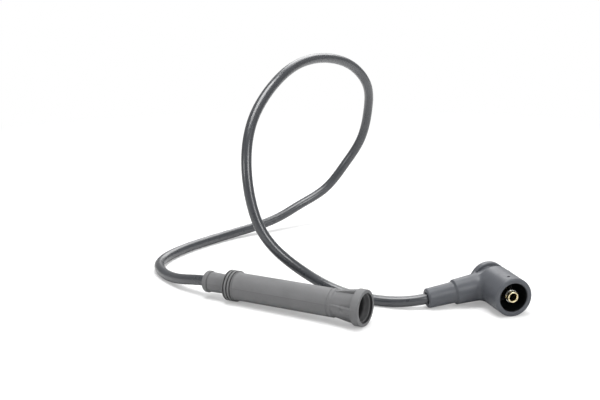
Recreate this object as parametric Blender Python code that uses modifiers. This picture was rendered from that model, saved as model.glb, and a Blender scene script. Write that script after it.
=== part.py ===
"""Spark plug wire: one ignition lead for a petrol engine, lying on a bench.

A long straight boot grips the spark plug, a right-angle boot grips the tower of the distributor cap, and one
moulded cable joins them. Units are metres and +Z is up. The origin is on the bench in the middle of the two
boots' footprint, and +X runs along the straight boot towards its mouth.
"""

import math

import bmesh
import bpy
import numpy as np
from mathutils import Matrix, Vector

# Cable
CABLE_DIAMETER = 0.0070
CORE_DIAMETER = 0.0016
CLEARANCE = 0.0003

# Straight boot, outside, measured from its back end or from its mouth
PLUG_BOOT_LENGTH = 0.1180
BEAD_DIAMETER = 0.0145
BEAD_LENGTH = 0.0033
BEAD_GROOVE_WIDTH = 0.0008
BEAD_GROOVE_DIAMETER = 0.0119
NECK_DIAMETER = 0.0133
NECK_END_DIAMETER = 0.0124
FLANGE_FROM_BACK = 0.0182
FLANGE_LENGTH = 0.0070
FLANGE_DIAMETER = 0.0203
FLANGE_GROOVES = 3
FLANGE_GROOVE_WIDTH = 0.0011
FLANGE_GROOVE_PITCH = 0.0024
FLANGE_GROOVE_DEPTH = 0.0009
SHOULDER_LENGTH = 0.0028
BODY_DIAMETER = 0.0182
STEP_FROM_MOUTH = 0.0230
STEP_GROOVE_WIDTH = 0.0006
STEP_GROOVE_DEPTH = 0.0004
STEP_LAND = 0.0022
WAIST_DIAMETER = 0.0164
WAIST_FROM_MOUTH = 0.0195
COLLAR_LENGTH = 0.0056
COLLAR_DIAMETER = 0.0234
COLLAR_ROOT_DIAMETER = 0.0208
COLLAR_EDGE = 0.0011
SIDE_RIB_WIDTH = 0.0022
SIDE_RIB_LENGTH = 0.0080
SIDE_RIB_HEIGHT = 0.0007

# Straight boot, inside
MOUTH_BORE_DIAMETER = 0.0176
MOUTH_BORE_DEPTH = 0.0048
MOUTH_GROOVE_DIAMETER = 0.0186
MOUTH_GROOVE_WIDTH = 0.0014
MOUTH_LIP = 0.0012
FUNNEL_DEPTH = 0.0200
PLUG_BORE_DIAMETER = 0.0104

# Snap terminal on the spark plug's end
TERMINAL_FROM_MOUTH = 0.0640
SLEEVE_LENGTH = 0.0245
SLEEVE_DIAMETER = 0.0088
SLEEVE_BORE_DIAMETER = 0.0068
SLEEVE_FLARE = 0.0004
SLIT_WIDTH = 0.0010
SLIT_LENGTH = 0.0140
CLIP_FROM_FRONT = 0.0070
CLIP_WIRE = 0.0008
CLIP_GROOVE_WIDTH = 0.0014
CLIP_GROOVE_DEPTH = 0.0006
CRIMP_LENGTH = 0.0120
CRIMP_WALL = 0.0005
WEB_THICKNESS = 0.0012
CORE_PAST_WEB = 0.0045

# Right-angle boot, outside: along the barrel from its rim, along the lead from the barrel's axis
BARREL_DIAMETER = 0.0250
LEAD_AXIS_FROM_RIM = 0.0310
SKIRT_LENGTH = 0.0287
PAD_FROM_RIM = 0.0354
PAD_THICKNESS = 0.0047
WAIST_OF_BARREL_DIAMETER = 0.0205
RIM_EDGE = 0.0012
PAD_EDGE = 0.0008
TAIL_REACH = 0.0130
TAIL_DIAMETER = 0.0176
TAIL_BEVEL = 0.0010
LEAD_ROOT_DIAMETER = 0.0178
LEAD_STEP_REACH = 0.0270
LEAD_STEP_DIAMETER = 0.0163
LEAD_REACH = 0.0465
LEAD_NECK_DIAMETER = 0.0138
LEAD_END_DIAMETER = 0.0127
LEAD_END_EDGE = 0.0012
GATE_FROM_RIM = 0.0056
GATE_DIAMETER = 0.0018
GATE_DEPTH = 0.0004

# Right-angle boot, inside
BARREL_BORE_DIAMETER = 0.0186
BARREL_BORE_DEPTH = 0.0210
RIM_CHAMFER = 0.0005
CRIMP_SPACE = 0.0005

# Distributor terminal
SOCKET_DIAMETER = 0.0072
SOCKET_BORE_DIAMETER = 0.0048
SOCKET_BELOW_RIM = 0.0010
SOCKET_LENGTH = 0.0255
SOCKET_SEAM = 0.0004
SOCKET_MOUTH_CHAMFER = 0.0004
RING_BELOW_TOP = 0.0030
RING_WIRE = 0.0008
RING_GROOVE_WIDTH = 0.0014
RING_GROOVE_DEPTH = 0.0005
STRIP_WIDTH = 0.0024
STRIP_THICKNESS = 0.0008
STRIP_BEND = 0.0020
CABLE_END_IN_LEAD = 0.0133

# Place of the right-angle boot on the bench, from the back end of the straight boot
ELBOW_X = 0.1675
ELBOW_Y = 0.0839
ELBOW_TURN = math.radians(-43.5)

# Cable route on the bench, from the back end of the straight boot to the lead of the right-angle boot: a
# hairpin behind the boot, a long run back, the standing loop, and the run forward along the bench
ROUTE = (
    (-0.0170, 0.0020, 0.0075),
    (-0.0380, 0.0100, 0.0040),
    (-0.0600, 0.0265, 0.0036),
    (-0.0700, 0.0580, 0.0036),
    (-0.0680, 0.0930, 0.0036),
    (-0.0600, 0.1270, 0.0045),
    (-0.0430, 0.1630, 0.0110),
    (-0.0350, 0.1810, 0.0180),
    (-0.0220, 0.2000, 0.0295),
    (-0.0110, 0.2120, 0.0480),
    (0.0010, 0.2160, 0.0690),
    (0.0095, 0.2120, 0.0950),
    (0.0160, 0.1970, 0.1170),
    (0.0155, 0.1780, 0.1320),
    (0.0136, 0.1495, 0.1420),
    (0.0125, 0.1260, 0.1450),
    (0.0117, 0.0950, 0.1430),
    (0.0112, 0.0650, 0.1320),
    (0.0105, 0.0440, 0.1155),
    (0.0140, 0.0284, 0.0950),
    (0.0184, 0.0220, 0.0760),
    (0.0230, 0.0200, 0.0600),
    (0.0304, 0.0205, 0.0430),
    (0.0410, 0.0250, 0.0287),
    (0.0512, 0.0295, 0.0198),
    (0.0675, 0.0345, 0.0100),
    (0.0840, 0.0372, 0.0048),
    (0.1000, 0.0380, 0.0036),
    (0.1150, 0.0400, 0.0038),
    (0.1262, 0.0437, 0.0048),
)
ROUTE_SPACING = 0.0150
CABLE_LIFT = 0.00005

# Fineness of the round forms
TURN_STEPS = 36
SMALL_TURN_STEPS = 24
CORNER_STEPS = 3
RING_OPENING = math.radians(40)
RING_STEPS = 20
SHARP_ANGLE = math.radians(35)
REACH_PAST = 0.0020


def clear_scene():
    for obj in list(bpy.data.objects):
        bpy.data.objects.remove(obj)


def new_collection(name):
    collection = bpy.data.collections.new(name)
    bpy.context.scene.collection.children.link(collection)
    return collection


def new_material(name, color, roughness, metallic=0.0):
    material = bpy.data.materials.new(name)
    material.use_nodes = True
    shader = material.node_tree.nodes["Principled BSDF"]
    shader.inputs["Base Color"].default_value = (*color, 1.0)
    shader.inputs["Roughness"].default_value = roughness
    shader.inputs["Metallic"].default_value = metallic
    material.diffuse_color = (*color, 1.0)
    return material


def place(obj, parent, location=(0, 0, 0), rotation=(0, 0, 0)):
    obj.parent = parent
    obj.location = location
    obj.rotation_euler = rotation
    return obj


def rounded(corners):
    """Profile points from corners given as (distance from the axis, place along it, size of the rounding)."""
    points = []
    for index, (radius, along, size) in enumerate(corners):
        here = Vector((radius, along))
        if not size:
            points.append(here)
            continue
        before = (Vector(corners[index - 1][:2]) - here).normalized()
        after = (Vector(corners[(index + 1) % len(corners)][:2]) - here).normalized()
        half = before.angle(after) / 2
        centre = here + (before + after).normalized() * size / math.sin(half)
        first = here + before * size / math.tan(half) - centre
        last = here + after * size / math.tan(half) - centre
        for step in range(CORNER_STEPS + 1):
            share = step / CORNER_STEPS
            points.append(centre + first.lerp(last, share).normalized() * size)
    return points


def turned(name, corners, collection, steps=TURN_STEPS):
    """A profile turned about local Z: down the outside and, on a hollow piece, back up the bore."""
    points = rounded(corners)
    links = [(index, index + 1) for index in range(len(points) - 1)]
    if points[0].x > 0:
        links.append((len(points) - 1, 0))
    mesh = bpy.data.meshes.new(name)
    mesh.from_pydata([(point.x, 0, point.y) for point in points], links, [])
    obj = bpy.data.objects.new(name, mesh)
    screw = obj.modifiers.new("turn", "SCREW")
    screw.steps = steps
    screw.render_steps = steps
    screw.use_merge_vertices = True
    screw.merge_threshold = 1e-6
    collection.objects.link(obj)
    return obj


def block(name, size, centre, collection):
    """A box cutter or rib with its centre at a given place."""
    mesh = bpy.data.meshes.new(name)
    form = bmesh.new()
    bmesh.ops.create_cube(form, size=1)
    bmesh.ops.scale(form, vec=size, verts=form.verts)
    bmesh.ops.translate(form, vec=centre, verts=form.verts)
    form.to_mesh(mesh)
    form.free()
    obj = bpy.data.objects.new(name, mesh)
    collection.objects.link(obj)
    return obj


def combine(obj, tool, operation, cutters):
    """Joins the tool to the object or cuts it out, and keeps the tool as a hidden guide."""
    boolean = obj.modifiers.new(tool.name, "BOOLEAN")
    boolean.object = tool
    boolean.operation = operation
    boolean.solver = "EXACT"
    tool.hide_render = True
    tool.display_type = "WIRE"
    for collection in tool.users_collection:
        collection.objects.unlink(tool)
    cutters.objects.link(tool)


def dress(obj, material):
    """Gives a piece its material and turns its modifiers into a mesh, smooth apart from sharp edges."""
    bpy.context.view_layer.update()
    graph = bpy.context.evaluated_depsgraph_get()
    mesh = bpy.data.meshes.new_from_object(obj.evaluated_get(graph))
    mesh.name = obj.name
    obj.modifiers.clear()
    obj.data = mesh
    mesh.materials.clear()
    mesh.materials.append(material)
    mesh.shade_smooth()
    mesh.set_sharp_from_angle(angle=SHARP_ANGLE)
    return obj


def tube(name, points, diameter, collection, material, resolution=2):
    """A wire or cable with flat ends along a run of points."""
    curve = bpy.data.curves.new(name, "CURVE")
    curve.dimensions = "3D"
    curve.bevel_depth = diameter / 2
    curve.bevel_resolution = resolution
    curve.use_fill_caps = True
    spline = curve.splines.new("POLY")
    spline.points.add(len(points) - 1)
    for target, point in zip(spline.points, points):
        target.co = (*point, 1)
    curve.materials.append(material)
    obj = bpy.data.objects.new(name, curve)
    collection.objects.link(obj)
    return obj


def split_ring(name, radius, wire, along, collection, material):
    """A spring ring about local Z with a gap between its ends."""
    wrap = 2 * math.pi - RING_OPENING
    turns = [RING_OPENING / 2 + wrap * step / RING_STEPS for step in range(RING_STEPS + 1)]
    points = [(radius * math.cos(turn), radius * math.sin(turn), along) for turn in turns]
    return tube(name, points, wire, collection, material, resolution=1)


def lean():
    """Pitch of the straight boot, which rests on its collar and on the back edge of its ringed flange."""
    rise = (COLLAR_DIAMETER - FLANGE_DIAMETER) / 2
    span = PLUG_BOOT_LENGTH - COLLAR_LENGTH - FLANGE_FROM_BACK
    return math.atan2(rise, span)


def port_height():
    """Height of the straight boot's axis at its back end."""
    return FLANGE_DIAMETER / 2 * math.cos(lean()) - FLANGE_FROM_BACK * math.sin(lean())


def droop():
    """Roll of the right-angle boot about its barrel that lets the end of its lead down on the bench."""
    height = BARREL_DIAMETER / 2
    end = LEAD_END_DIAMETER / 2
    return math.asin(height / math.hypot(LEAD_REACH, end)) - math.atan2(end, LEAD_REACH)


def plug_frame(bench):
    """Local Z runs along the straight boot from its back end to its mouth."""
    frame = bpy.data.objects.new("plug_end", None)
    return place(frame, bench, (0, 0, port_height()), (0, math.pi / 2 - lean(), 0))


def elbow_axes():
    """Directions of the lead, of its side and of the barrel's mouth."""
    barrel = Vector((math.cos(ELBOW_TURN), math.sin(ELBOW_TURN), 0))
    level = Vector((math.sin(ELBOW_TURN), -math.cos(ELBOW_TURN), 0))
    lead = level * math.cos(droop()) - Vector((0, 0, math.sin(droop())))
    return lead, barrel.cross(lead), barrel


def elbow_frame(bench):
    """Local Z runs along the barrel to its rim and local X along the lead to its end."""
    frame = bpy.data.objects.new("distributor_end", None)
    turn = Matrix(elbow_axes()).transposed().to_euler()
    return place(frame, bench, (ELBOW_X, ELBOW_Y, BARREL_DIAMETER / 2), turn)


def terminal_places():
    """Places along the straight boot: front and back of the snap sleeve, back of the web and of the crimp."""
    front = PLUG_BOOT_LENGTH - TERMINAL_FROM_MOUTH
    sleeve = front - SLEEVE_LENGTH
    web = sleeve - WEB_THICKNESS
    return front, sleeve, web, web - CRIMP_LENGTH


def crimp_radii():
    inner = CABLE_DIAMETER / 2 + CLEARANCE
    return inner, inner + CRIMP_WALL


def flange_corners():
    """The ringed flange from its front edge to its back edge, with its grooves."""
    radius = FLANGE_DIAMETER / 2
    middle = FLANGE_FROM_BACK + FLANGE_LENGTH / 2
    half = FLANGE_GROOVE_WIDTH / 2
    corners = [(radius, FLANGE_FROM_BACK + FLANGE_LENGTH, 0.0002)]
    for index in range(FLANGE_GROOVES):
        centre = middle + ((FLANGE_GROOVES - 1) / 2 - index) * FLANGE_GROOVE_PITCH
        corners += [
            (radius, centre + half, 0),
            (radius - FLANGE_GROOVE_DEPTH, centre + half * 0.6, 0),
            (radius - FLANGE_GROOVE_DEPTH, centre - half * 0.6, 0),
            (radius, centre - half, 0),
        ]
    return corners + [(radius, FLANGE_FROM_BACK, 0)]


def plug_boot_outside():
    """Corners down the outside of the straight boot, from its mouth to its back end."""
    mouth = PLUG_BOOT_LENGTH
    collar = mouth - COLLAR_LENGTH
    step = mouth - STEP_FROM_MOUTH
    flange_front = FLANGE_FROM_BACK + FLANGE_LENGTH
    groove = BEAD_LENGTH + BEAD_GROOVE_WIDTH
    body = BODY_DIAMETER / 2
    return [
        (COLLAR_DIAMETER / 2, mouth, COLLAR_EDGE),
        (COLLAR_DIAMETER / 2, collar, 0.0003),
        (COLLAR_ROOT_DIAMETER / 2, collar, 0),
        (WAIST_DIAMETER / 2, mouth - WAIST_FROM_MOUTH, 0.0020),
        (body, step + STEP_LAND, 0.0003),
        (body, step + STEP_GROOVE_WIDTH / 2, 0),
        (body - STEP_GROOVE_DEPTH, step, 0),
        (body, step - STEP_GROOVE_WIDTH / 2, 0),
        (body, flange_front + SHOULDER_LENGTH, 0.0010),
        (body + 0.0004, flange_front, 0),
        *flange_corners(),
        (NECK_END_DIAMETER / 2, FLANGE_FROM_BACK, 0.0006),
        (NECK_DIAMETER / 2, groove, 0),
        (BEAD_GROOVE_DIAMETER / 2, groove - BEAD_GROOVE_WIDTH / 2, 0),
        (BEAD_DIAMETER / 2, BEAD_LENGTH, 0.0008),
        (BEAD_DIAMETER / 2, 0, 0.0014),
    ]


def plug_boot_inside():
    """Corners up the inside of the straight boot, from the cable's way in to the mouth."""
    mouth = PLUG_BOOT_LENGTH
    _, sleeve, _, crimp = terminal_places()
    cable_bore = CABLE_DIAMETER / 2 + CLEARANCE
    crimp_bore = crimp_radii()[1] + CLEARANCE
    groove_back = mouth - MOUTH_LIP - MOUTH_GROOVE_WIDTH
    return [
        (cable_bore, 0, 0.0008),
        (cable_bore, crimp - CLEARANCE, 0),
        (crimp_bore, crimp - CLEARANCE, 0),
        (crimp_bore, sleeve - WEB_THICKNESS, 0),
        (PLUG_BORE_DIAMETER / 2, sleeve, 0),
        (PLUG_BORE_DIAMETER / 2, mouth - FUNNEL_DEPTH, 0.0040),
        (MOUTH_BORE_DIAMETER / 2, mouth - MOUTH_BORE_DEPTH, 0.0006),
        (MOUTH_BORE_DIAMETER / 2, groove_back, 0),
        (MOUTH_GROOVE_DIAMETER / 2, groove_back + MOUTH_GROOVE_WIDTH / 3, 0),
        (MOUTH_GROOVE_DIAMETER / 2, mouth - MOUTH_LIP - MOUTH_GROOVE_WIDTH / 3, 0),
        (MOUTH_BORE_DIAMETER / 2, mouth - MOUTH_LIP, 0),
        (MOUTH_BORE_DIAMETER / 2, mouth, 0.0004),
    ]


def make_plug_boot(frame, parts, cutters, rubber):
    boot = turned("plug_boot", plug_boot_outside() + plug_boot_inside(), parts)
    place(boot, frame)
    top = BODY_DIAMETER / 2
    middle = PLUG_BOOT_LENGTH - STEP_FROM_MOUTH + STEP_LAND + SIDE_RIB_LENGTH / 2
    for side in (-1, 1):
        height = SIDE_RIB_HEIGHT + (BODY_DIAMETER - WAIST_DIAMETER) / 2
        size = (SIDE_RIB_WIDTH, height, SIDE_RIB_LENGTH)
        rib = block(f"side_rib_{side}", size, (0, side * (top - height / 2), middle), parts)
        place(rib, frame)
        combine(boot, rib, "UNION", cutters)
    return dress(boot, rubber)


def make_plug_terminal(frame, parts, cutters, metal):
    front, sleeve, web, crimp = terminal_places()
    inner, outer = crimp_radii()
    radius = SLEEVE_DIAMETER / 2
    bore = SLEEVE_BORE_DIAMETER / 2
    clip = front - CLIP_FROM_FRONT
    half = CLIP_GROOVE_WIDTH / 2
    hole = CORE_DIAMETER / 2 + CLEARANCE
    corners = [
        (radius + SLEEVE_FLARE, front, 0),
        (radius, front - 2 * SLEEVE_FLARE, 0),
        (radius, clip + half, 0),
        (radius - CLIP_GROOVE_DEPTH, clip + half, 0),
        (radius - CLIP_GROOVE_DEPTH, clip - half, 0),
        (radius, clip - half, 0),
        (radius, sleeve, 0),
        (outer, web, 0),
        (outer, crimp, 0),
        (inner, crimp, 0),
        (inner, web, 0),
        (hole, web, 0),
        (hole, sleeve, 0),
        (bore, sleeve, 0),
        (bore, front - 2 * SLEEVE_FLARE, 0),
        (bore + SLEEVE_FLARE, front, 0),
    ]
    terminal = place(turned("plug_terminal", corners, parts, SMALL_TURN_STEPS), frame)
    deep = SLIT_LENGTH + REACH_PAST
    wide = SLEEVE_DIAMETER + 2 * SLEEVE_FLARE + 2 * REACH_PAST
    middle = front + REACH_PAST - deep / 2
    for name, size in (("slit_across", (wide, SLIT_WIDTH, deep)), ("slit_upright", (SLIT_WIDTH, wide, deep))):
        slit = place(block(name, size, (0, 0, middle), parts), frame)
        combine(terminal, slit, "DIFFERENCE", cutters)
    return dress(terminal, metal)


def make_plug_clip(frame, parts, metal):
    front = terminal_places()[0]
    radius = SLEEVE_DIAMETER / 2 - CLIP_GROOVE_DEPTH + CLEARANCE + CLIP_WIRE / 2
    ring = split_ring("plug_terminal_clip", radius, CLIP_WIRE, front - CLIP_FROM_FRONT, parts, metal)
    return place(ring, frame)


def make_core_ends(plug_end, distributor_end, parts, metal):
    """Bare ends of the conductor, from the cable's end faces to the two terminals."""
    web = terminal_places()[2]
    reach = web + WEB_THICKNESS + CORE_PAST_WEB
    plug_core = tube("plug_core_end", [(0, 0, web), (0, 0, reach)], CORE_DIAMETER, parts, metal)
    place(plug_core, plug_end)
    start = CABLE_END_IN_LEAD - CLEARANCE
    stop = STRIP_THICKNESS / 2 + CLEARANCE - strip_offset()
    core = tube("distributor_core_end", [(start, 0, 0), (stop, 0, 0)], CORE_DIAMETER, parts, metal)
    place(core, distributor_end)


def strip_offset():
    """Distance of the strip's upright leg from the barrel's axis: the middle of the socket's wall."""
    return (SOCKET_DIAMETER + SOCKET_BORE_DIAMETER) / 4


def socket_places():
    """Top and bottom of the brass socket above the lead's axis."""
    top = LEAD_AXIS_FROM_RIM - SOCKET_BELOW_RIM
    return top, top - SOCKET_LENGTH


def barrel_corners():
    """Closed outside of the barrel, from its rim down past the waist to the round pad."""
    rim = LEAD_AXIS_FROM_RIM
    skirt = rim - SKIRT_LENGTH
    pad = rim - PAD_FROM_RIM
    back = pad - PAD_THICKNESS
    radius = BARREL_DIAMETER / 2
    waist = WAIST_OF_BARREL_DIAMETER / 2
    return [
        (0, rim, 0),
        (radius, rim, RIM_EDGE),
        (radius, skirt, 0.0006),
        (waist, skirt, 0),
        (waist, pad, 0),
        (radius, pad, PAD_EDGE),
        (radius, back, PAD_EDGE),
        (0, back, 0),
    ]


def lead_corners():
    """Closed outside of the cross tube, from the end of the lead to the bevelled tail."""
    bevel = (LEAD_STEP_DIAMETER - LEAD_NECK_DIAMETER) / 2
    return [
        (0, LEAD_REACH, 0),
        (LEAD_END_DIAMETER / 2, LEAD_REACH, LEAD_END_EDGE),
        (LEAD_NECK_DIAMETER / 2, LEAD_STEP_REACH + bevel, 0.0004),
        (LEAD_STEP_DIAMETER / 2, LEAD_STEP_REACH, 0.0004),
        (LEAD_ROOT_DIAMETER / 2, BARREL_DIAMETER / 2, 0),
        (TAIL_DIAMETER / 2, 0, 0),
        (TAIL_DIAMETER / 2, TAIL_BEVEL - TAIL_REACH, 0),
        (TAIL_DIAMETER / 2 - TAIL_BEVEL, -TAIL_REACH, 0),
        (0, -TAIL_REACH, 0),
    ]


def barrel_bore_corners():
    """Space for the distributor tower, with the seat of the brass socket below it."""
    rim = LEAD_AXIS_FROM_RIM
    bore = BARREL_BORE_DIAMETER / 2
    floor = rim - BARREL_BORE_DEPTH
    seat = SOCKET_DIAMETER / 2 + CLEARANCE
    return [
        (0, rim + REACH_PAST, 0),
        (bore + RIM_CHAMFER, rim + REACH_PAST, 0),
        (bore + RIM_CHAMFER, rim, 0),
        (bore, rim - RIM_CHAMFER, 0),
        (bore, floor, 0.0010),
        (seat, floor, 0),
        (seat, 0, 0),
        (0, 0, 0),
    ]


def lead_bore_corners():
    """Space for the cable and, wider, for the crimp and the foot of the strip."""
    cable = CABLE_DIAMETER / 2 + CLEARANCE
    crimp = crimp_radii()[1] + CRIMP_SPACE
    shoulder = CABLE_END_IN_LEAD + CRIMP_LENGTH + CLEARANCE
    back = -(strip_offset() + STRIP_THICKNESS / 2 + CLEARANCE + CRIMP_SPACE)
    return [
        (0, LEAD_REACH + REACH_PAST, 0),
        (cable + 0.0005, LEAD_REACH + REACH_PAST, 0),
        (cable + 0.0005, LEAD_REACH, 0),
        (cable, LEAD_REACH - 0.0005, 0),
        (cable, shoulder, 0),
        (crimp, shoulder, 0),
        (crimp, back, 0),
        (0, back, 0),
    ]


def make_distributor_boot(frame, parts, cutters, rubber):
    boot = place(turned("distributor_boot", barrel_corners(), parts), frame)
    along_lead = (0, math.pi / 2, 0)
    lead = place(turned("cross_tube", lead_corners(), parts), frame, rotation=along_lead)
    combine(boot, lead, "UNION", cutters)
    tower = place(turned("tower_space", barrel_bore_corners(), parts), frame)
    combine(boot, tower, "DIFFERENCE", cutters)
    way = place(turned("cable_space", lead_bore_corners(), parts), frame, rotation=along_lead)
    combine(boot, way, "DIFFERENCE", cutters)
    half = GATE_DIAMETER / 2
    gate_corners = [(0, GATE_DEPTH, 0), (half, GATE_DEPTH, 0), (half, -GATE_DEPTH, 0), (0, -GATE_DEPTH, 0)]
    gate = turned("gate_mark", gate_corners, parts, SMALL_TURN_STEPS)
    centre = (0, -BARREL_DIAMETER / 2, LEAD_AXIS_FROM_RIM - GATE_FROM_RIM)
    place(gate, frame, centre, (math.pi / 2, 0, 0))
    combine(boot, gate, "DIFFERENCE", cutters)
    return dress(boot, rubber)


def make_distributor_socket(frame, parts, cutters, metal):
    top, bottom = socket_places()
    radius = SOCKET_DIAMETER / 2
    bore = SOCKET_BORE_DIAMETER / 2
    ring = top - RING_BELOW_TOP
    half = RING_GROOVE_WIDTH / 2
    corners = [
        (radius, top, 0.0003),
        (radius, ring + half, 0),
        (radius - RING_GROOVE_DEPTH, ring + half, 0),
        (radius - RING_GROOVE_DEPTH, ring - half, 0),
        (radius, ring - half, 0),
        (radius, bottom, 0),
        (bore, bottom, 0),
        (bore, top - SOCKET_MOUTH_CHAMFER, 0),
        (bore + SOCKET_MOUTH_CHAMFER, top, 0),
    ]
    socket = place(turned("distributor_socket", corners, parts, SMALL_TURN_STEPS), frame)
    wall = radius + REACH_PAST
    size = (wall, SOCKET_SEAM, SOCKET_LENGTH + 2 * REACH_PAST)
    seam = place(block("socket_seam", size, (wall / 2, 0, (top + bottom) / 2), parts), frame)
    combine(socket, seam, "DIFFERENCE", cutters)
    return dress(socket, metal)


def make_spring_ring(frame, parts, metal):
    top = socket_places()[0]
    radius = SOCKET_DIAMETER / 2 - RING_GROOVE_DEPTH + CLEARANCE + RING_WIRE / 2
    ring = split_ring("socket_spring_ring", radius, RING_WIRE, top - RING_BELOW_TOP, parts, metal)
    return place(ring, frame)


def strip_path():
    """Middle line of the strip, seen from its side: down from the socket and round to the crimp."""
    offset = strip_offset()
    level = STRIP_THICKNESS / 2 + CLEARANCE - crimp_radii()[1]
    top = socket_places()[1] - CLEARANCE
    points = [(-offset, top)]
    for step in range(2 * CORNER_STEPS + 1):
        turn = math.pi / 2 * step / (2 * CORNER_STEPS)
        across = STRIP_BEND * (1 - math.cos(turn)) - offset
        points.append((across, level + STRIP_BEND * (1 - math.sin(turn))))
    points.append((CABLE_END_IN_LEAD - CLEARANCE - WEB_THICKNESS / 2, level))
    return points


def make_distributor_terminal(frame, parts, cutters, metal):
    """A crimp cup round the cable's end, and a strip that runs from its web to the foot of the socket."""
    inner, outer = crimp_radii()
    web = CABLE_END_IN_LEAD - CLEARANCE
    front = web - WEB_THICKNESS
    hole = CORE_DIAMETER / 2 + CLEARANCE
    corners = [
        (outer, web + CRIMP_LENGTH, 0),
        (outer, front, 0),
        (hole, front, 0),
        (hole, web, 0),
        (inner, web, 0),
        (inner, web + CRIMP_LENGTH, 0),
    ]
    cup = turned("distributor_terminal", corners, parts, SMALL_TURN_STEPS)
    place(cup, frame, rotation=(0, math.pi / 2, 0))
    mesh = bpy.data.meshes.new("strip")
    form = bmesh.new()
    line = [form.verts.new((x, -STRIP_WIDTH / 2, z)) for x, z in strip_path()]
    edges = [form.edges.new(pair) for pair in zip(line, line[1:])]
    swept = bmesh.ops.extrude_edge_only(form, edges=edges)["geom"]
    moved = [item for item in swept if isinstance(item, bmesh.types.BMVert)]
    bmesh.ops.translate(form, vec=(0, STRIP_WIDTH, 0), verts=moved)
    form.to_mesh(mesh)
    form.free()
    strip = place(bpy.data.objects.new("strip", mesh), frame)
    parts.objects.link(strip)
    wall = strip.modifiers.new("wall", "SOLIDIFY")
    wall.thickness = STRIP_THICKNESS
    wall.offset = 0
    combine(cup, strip, "UNION", cutters)
    return dress(cup, metal)


def smooth_curve(points, start_way, end_way, spacing):
    """Even points on the cubic spline through the given points, with the given ways at its ends."""
    points = np.array(points)
    gaps = np.linalg.norm(np.diff(points, axis=0), axis=1)
    count = len(points)
    rows = np.eye(count)
    right = np.zeros((count, 3))
    right[0] = start_way
    right[-1] = end_way
    for i in range(1, count - 1):
        before, after = gaps[i - 1], gaps[i]
        rows[i, i - 1 : i + 2] = after, 2 * (before + after), before
        ahead = (points[i + 1] - points[i]) / after
        behind = (points[i] - points[i - 1]) / before
        right[i] = 3 * (before * ahead + after * behind)
    ways = np.linalg.solve(rows, right)
    dense = []
    for i in range(count - 1):
        for share in np.linspace(0, 1, 24, endpoint=i == count - 2):
            square, cube = share**2, share**3
            dense.append(
                (2 * cube - 3 * square + 1) * points[i]
                + (cube - 2 * square + share) * gaps[i] * ways[i]
                + (3 * square - 2 * cube) * points[i + 1]
                + (cube - square) * gaps[i] * ways[i + 1]
            )
    dense = np.array(dense)
    along = np.concatenate([[0], np.cumsum(np.linalg.norm(np.diff(dense, axis=0), axis=1))])
    stops = np.linspace(0, along[-1], 1 + round(along[-1] / spacing))
    return np.stack([np.interp(stops, along, dense[:, axis]) for axis in range(3)], axis=1)


def cable_points():
    """The cable's middle line: straight in each boot and on the smooth route between them."""
    lead, _, _ = elbow_axes()
    crossing = Vector((ELBOW_X, ELBOW_Y, BARREL_DIAMETER / 2))
    boot_way = Vector((math.cos(lean()), 0, math.sin(lean())))
    port = Vector((0, 0, port_height()))
    plug_inner = port + boot_way * (terminal_places()[2] - CLEARANCE)
    lead_end = crossing + lead * LEAD_REACH
    lead_inner = crossing + lead * CABLE_END_IN_LEAD
    free = smooth_curve([port, *map(Vector, ROUTE), lead_end], -boot_way, -lead, ROUTE_SPACING)
    lowest = CABLE_DIAMETER / 2 + CABLE_LIFT
    free[1:-1, 2] = np.maximum(free[1:-1, 2], lowest)
    return [plug_inner, *map(Vector, free), lead_inner]


def make_cable(bench, parts, rubber):
    cable = tube("cable", cable_points(), CABLE_DIAMETER, parts, rubber, resolution=3)
    return place(cable, bench)


def centre_on_boots(bench, boots):
    """Moves the whole lead so that the origin is at the bottom centre of the two boots."""
    bpy.context.view_layer.update()
    corners = [boot.matrix_world @ vertex.co for boot in boots for vertex in boot.data.vertices]
    low = Vector(map(min, zip(*corners)))
    high = Vector(map(max, zip(*corners)))
    bench.location = (-(low.x + high.x) / 2, -(low.y + high.y) / 2, -low.z)


def main():
    clear_scene()
    parts = new_collection("spark_plug_wire")
    cutters = new_collection("cutters")
    grey_rubber = new_material("grey_boot_rubber", (0.19, 0.19, 0.19), 0.55)
    slate_rubber = new_material("slate_boot_rubber", (0.09, 0.095, 0.105), 0.5)
    sheath = new_material("cable_sheath", (0.06, 0.065, 0.072), 0.28)
    brass = new_material("brass", (0.78, 0.6, 0.26), 0.3, 1.0)
    steel = new_material("spring_steel", (0.6, 0.6, 0.6), 0.3, 1.0)
    tinned = new_material("tinned_steel", (0.55, 0.55, 0.53), 0.35, 1.0)
    bench = bpy.data.objects.new("bench", None)
    plug_end = plug_frame(bench)
    distributor_end = elbow_frame(bench)
    for frame in (bench, plug_end, distributor_end):
        parts.objects.link(frame)
    plug_boot = make_plug_boot(plug_end, parts, cutters, grey_rubber)
    make_plug_terminal(plug_end, parts, cutters, tinned)
    make_plug_clip(plug_end, parts, steel)
    distributor_boot = make_distributor_boot(distributor_end, parts, cutters, slate_rubber)
    make_distributor_socket(distributor_end, parts, cutters, brass)
    make_spring_ring(distributor_end, parts, steel)
    make_distributor_terminal(distributor_end, parts, cutters, brass)
    make_core_ends(plug_end, distributor_end, parts, tinned)
    make_cable(bench, parts, sheath)
    centre_on_boots(bench, (plug_boot, distributor_boot))


main()
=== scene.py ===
"""Looks of one spark plug wire: its moulded boots, its cable, its brass and steel, and the stage round it."""

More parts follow.
